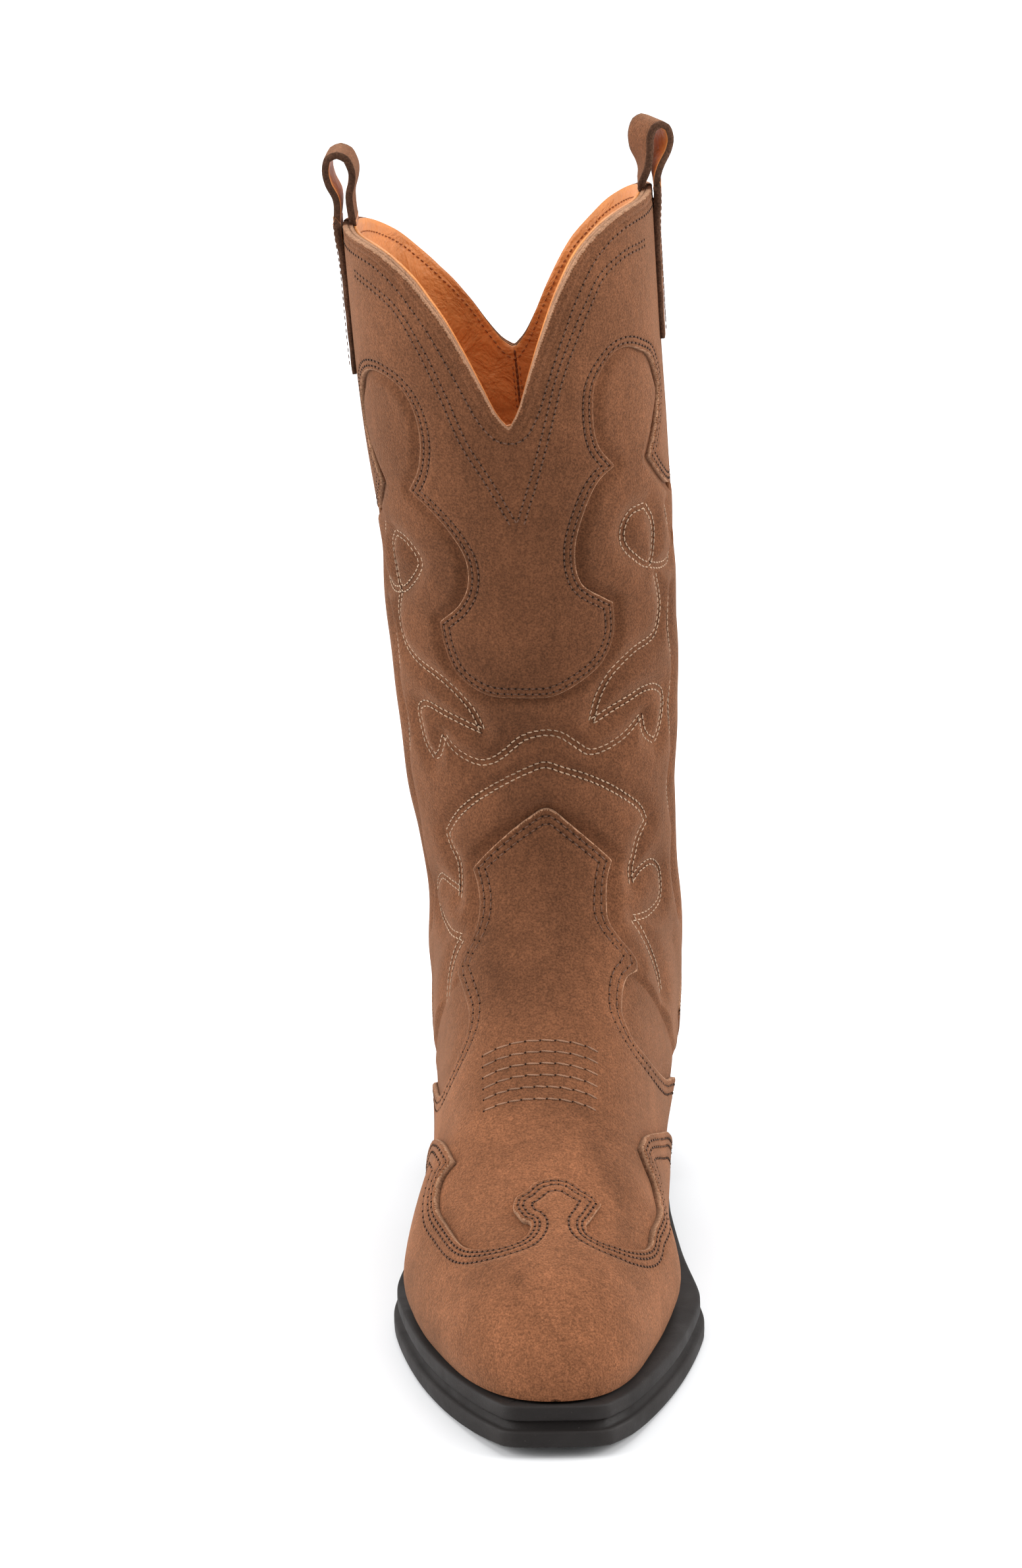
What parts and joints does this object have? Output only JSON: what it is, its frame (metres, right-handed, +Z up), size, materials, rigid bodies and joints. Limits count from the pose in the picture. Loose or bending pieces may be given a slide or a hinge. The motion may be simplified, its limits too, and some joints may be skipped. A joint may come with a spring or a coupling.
{
  "type": "western boot",
  "caption": "Right-foot mid-calf western boot in tan suede with V-notched top, leather lining, snip-toe rubber sole, block heel and swinging pull loops.",
  "frame": {"origin": "on the ground, under the middle of the boot's bounding box", "axes": "+Z up, toe towards -Y, heel towards +Y, medial side towards +X"},
  "size_m": [0.1177, 0.287, 0.3775],
  "materials": {
    "suede_tan": "napped suede, matt, taupe-tan with darker and lighter rubbed patches",
    "strap_suede": "suede outside and smooth leather inside, raw dark-brown cut edges",
    "lining_leather": "smooth cognac grain leather, slight satin sheen, fine wrinkles",
    "stiffener": "stiff impregnated felt, matt",
    "fibre_board": "pressed fibre board, matt",
    "steel": "plain spring steel",
    "cork": "granulated cork, matt",
    "black_rubber": "black moulded rubber, matt to low satin, faint dust",
    "heel_rubber": "black hard rubber, matt"
  },
  "bodies": {
    "boot": {"vamp": "suede_tan", "wing_tip": "suede_tan", "shaft_front": "suede_tan", "shaft_back": "suede_tan", "heel_counter": "suede_tan", "collar_front": "suede_tan", "collar_back": "suede_tan", "side_welt_left": "suede_tan", "side_welt_right": "suede_tan", "vamp_lining": "lining_leather", "shaft_lining_front": "lining_leather", "shaft_lining_back": "lining_leather", "toe_puff": "stiffener", "heel_stiffener": "stiffener", "strap_outer_left": "strap_suede", "strap_outer_right": "strap_suede", "strap_inner_left": "strap_suede", "strap_inner_right": "strap_suede", "insole_board": "fibre_board", "sock_liner": "lining_leather", "shank": "steel", "cork_filler": "cork", "welt": "black_rubber", "outsole": "black_rubber", "heel_block": "black_rubber", "heel_top_piece": "heel_rubber"},
    "loop_left": {"pull_loop_left": "strap_suede"},
    "loop_right": {"pull_loop_right": "strap_suede"}
  },
  "joints": [
    {"name": "loop_left_swing", "type": "hinge", "parent": "boot", "child": "loop_left", "pos_m": [-0.05174, 0.07414, 0.3435], "axis": [0, -1, 0], "range_deg": [-35, 60], "stiffness_Nm_per_rad": 0.03},
    {"name": "loop_right_swing", "type": "hinge", "parent": "boot", "child": "loop_right", "pos_m": [0.04524, 0.0739, 0.3535], "axis": [0, 1, 0], "range_deg": [-35, 60], "stiffness_Nm_per_rad": 0.03}
  ]
}
